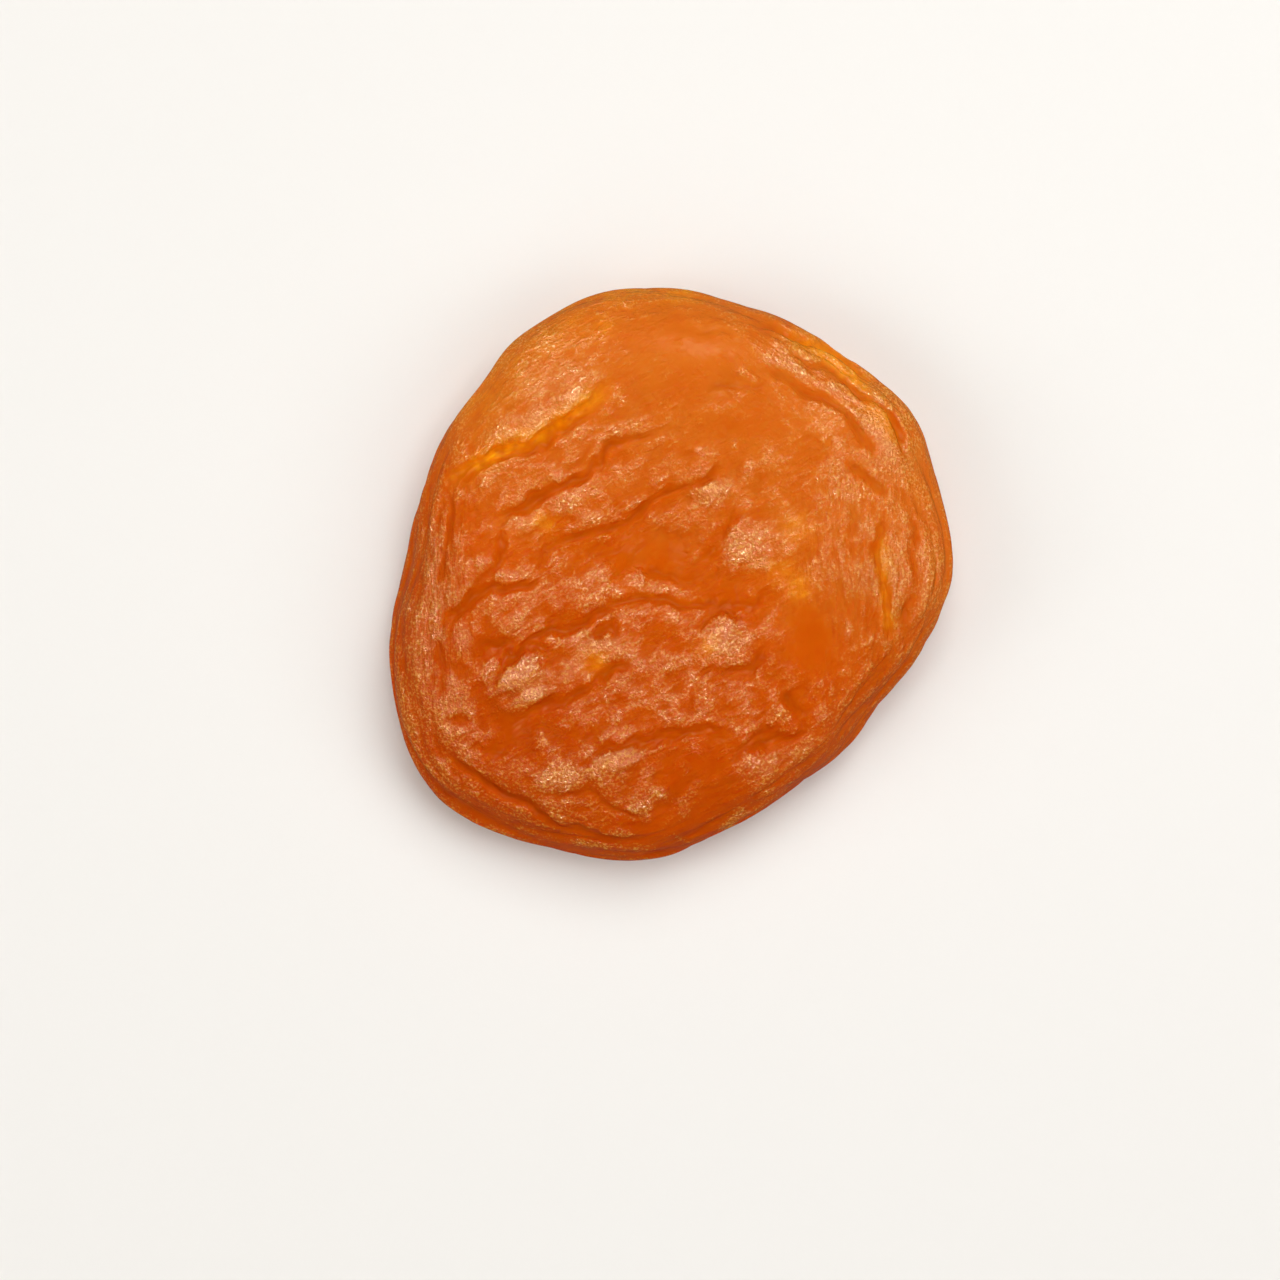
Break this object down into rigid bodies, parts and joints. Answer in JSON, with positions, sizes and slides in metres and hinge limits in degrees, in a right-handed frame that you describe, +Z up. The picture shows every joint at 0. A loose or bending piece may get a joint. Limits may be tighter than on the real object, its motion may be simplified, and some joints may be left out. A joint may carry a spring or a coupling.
{
  "type": "dried apricot half",
  "caption": "Pitted dried apricot half lying skin side up: a thick, wrinkled orange disc with a rolled rim and a shallow cupped underside.",
  "frame": {"origin": "centre of the bounding box at its base, on the surface that the half lies on", "axes": "+Z up, from the cut side through the skin side; +Y along the longest way across, which is up in the picture seen from above; +X to the right there"},
  "size_m": [0.045, 0.046, 0.011],
  "materials": {
    "apricot_skin": "moist, slightly see-through orange skin, fine-grained and glossy on its ridges, deeper orange in its creases, yellow where a fold is thin"
  },
  "bodies": {
    "root": {"apricot_half": "apricot_skin"}
  },
  "joints": []
}
